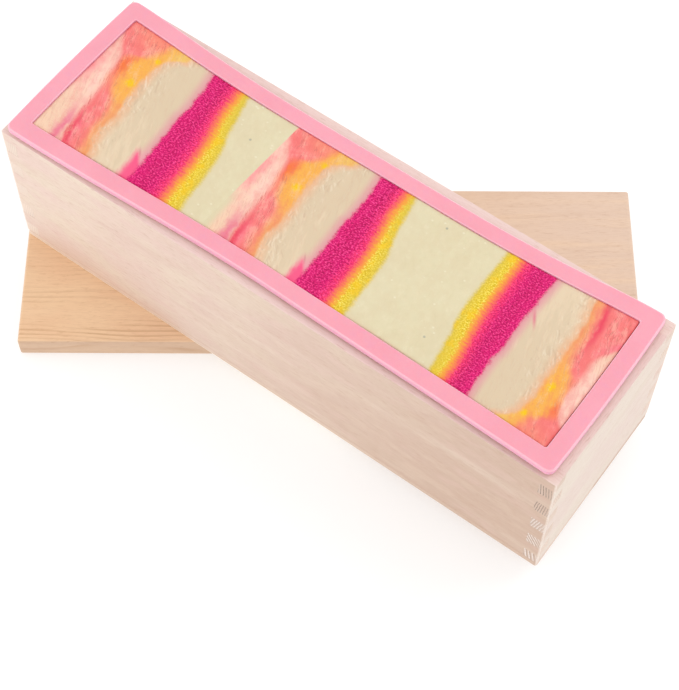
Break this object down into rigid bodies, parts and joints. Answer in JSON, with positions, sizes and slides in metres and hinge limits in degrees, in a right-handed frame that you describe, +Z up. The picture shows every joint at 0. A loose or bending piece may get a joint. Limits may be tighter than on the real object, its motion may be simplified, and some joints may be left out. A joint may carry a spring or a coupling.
{
  "type": "soap loaf mould",
  "caption": "Finger-jointed wooden box with a lift-out flanged silicone liner for casting soap loaves, standing on its loose wooden lid board.",
  "frame": {"origin": "on the lid board's underside, straight below the middle of the box", "axes": "+X along the box towards its right end panel, +Y towards its rear side panel, +Z up"},
  "size_m": [0.2948, 0.2308, 0.0958],
  "materials": {
    "side_panel_wood": "sanded, unfinished",
    "end_panel_wood": "sanded, unfinished",
    "base_panel_wood": "sanded, unfinished",
    "lid_wood": "sanded, unfinished",
    "pink_silicone": "satin",
    "brad_steel": "plain"
  },
  "bodies": {
    "lid": {"lid_board": "lid_wood"},
    "box": {"front_side_panel": "side_panel_wood", "rear_side_panel": "side_panel_wood", "left_end_panel": "end_panel_wood", "right_end_panel": "end_panel_wood", "base_panel": "base_panel_wood", "base_brads": "brad_steel"},
    "liner": {"silicone_liner": "pink_silicone"}
  },
  "joints": [
    {"name": "box_lift", "type": "slide", "parent": "lid", "child": "box", "axis": [0, 0, 1], "range_m": [0, 0.12]},
    {"name": "liner_lift", "type": "slide", "parent": "box", "child": "liner", "axis": [0, 0, 1], "range_m": [0, 0.085]}
  ]
}
